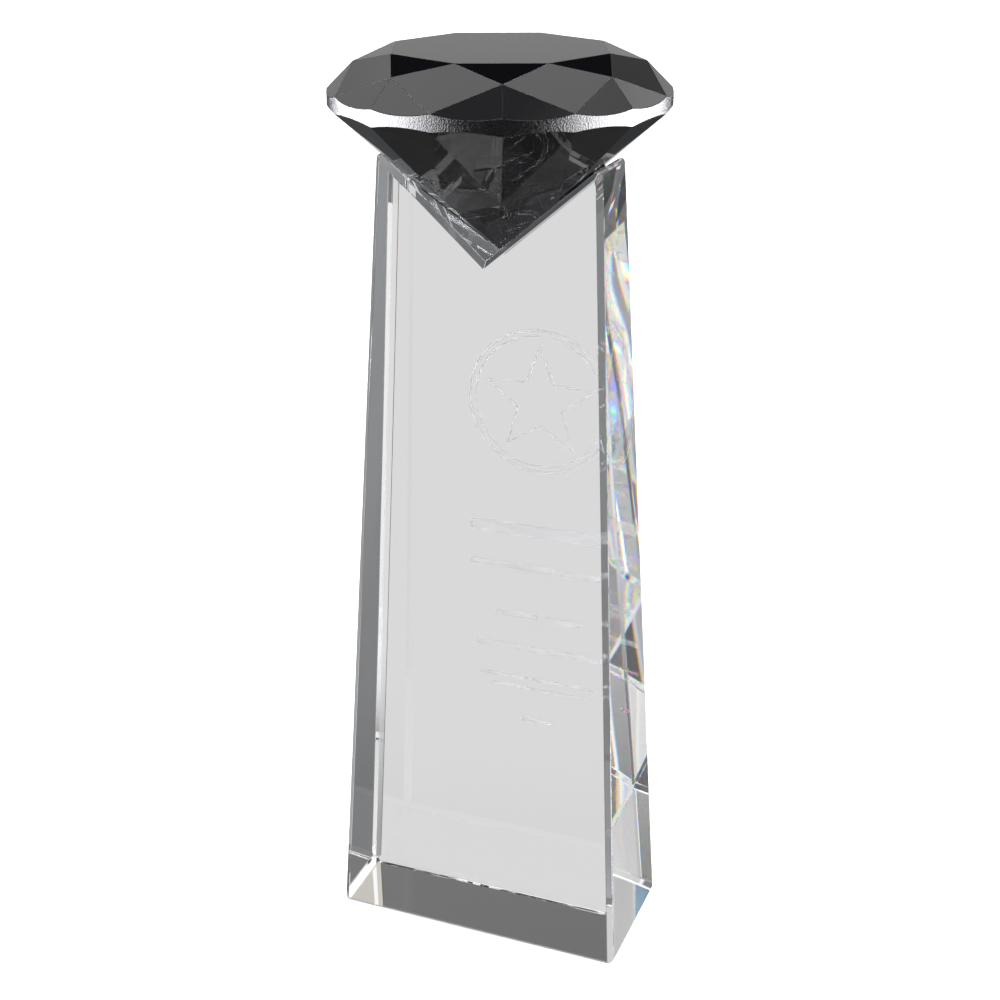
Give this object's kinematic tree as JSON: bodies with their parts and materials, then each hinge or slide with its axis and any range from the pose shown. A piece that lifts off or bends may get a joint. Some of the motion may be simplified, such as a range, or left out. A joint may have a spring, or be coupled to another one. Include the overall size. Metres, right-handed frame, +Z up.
{
  "type": "crystal award",
  "caption": "Tapered block of clear optical crystal with a V notch across its top, holding a black brilliant-cut stone point-down.",
  "frame": {"origin": "middle of the tower's base, on the surface the award stands on", "axes": "+Z up; +X to the right across the wide front face; the front face looks along -Y and the engraved back face along +Y"},
  "size_m": [0.08, 0.08, 0.2333],
  "materials": {
    "optical_crystal": "clear lead-free optical crystal, ground flat and polished on every face and chamfer; the award's motif is engraved on the back face",
    "black_crystal": "near-opaque black crystal, polished facets, satin ground girdle",
    "clear_adhesive": "thin clear film of ultraviolet-cured adhesive"
  },
  "bodies": {
    "root": {"crystal_tower": "optical_crystal", "black_diamond": "black_crystal", "left_bond_film": "clear_adhesive", "right_bond_film": "clear_adhesive"}
  },
  "joints": []
}
